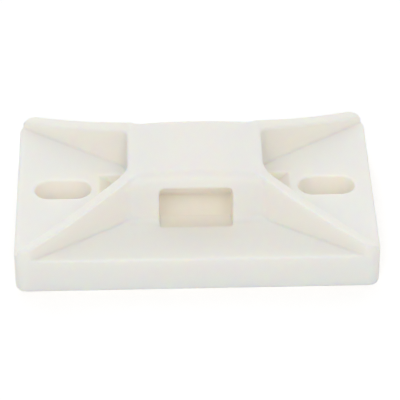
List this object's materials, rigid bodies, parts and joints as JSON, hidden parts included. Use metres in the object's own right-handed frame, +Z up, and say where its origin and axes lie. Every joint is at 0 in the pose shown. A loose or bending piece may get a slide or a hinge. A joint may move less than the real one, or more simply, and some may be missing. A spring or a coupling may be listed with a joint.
{
  "type": "cable tie mount",
  "caption": "Screw-down cable tie mount: crowned saddle with a wide tie tunnel, a lengthwise tie passage, diagonal ribs and a slot at each end.",
  "frame": {"origin": "centre of the flat underside, on the surface that the mount is screwed to", "axes": "+X along the base, through both screw slots; +Y from front to back, along the main tie tunnel; +Z up, away from the mounting surface"},
  "size_m": [0.045, 0.028, 0.0117],
  "materials": {
    "nylon": "natural nylon, satin as moulded"
  },
  "bodies": {
    "root": {"tie_mount": "nylon"}
  },
  "joints": []
}
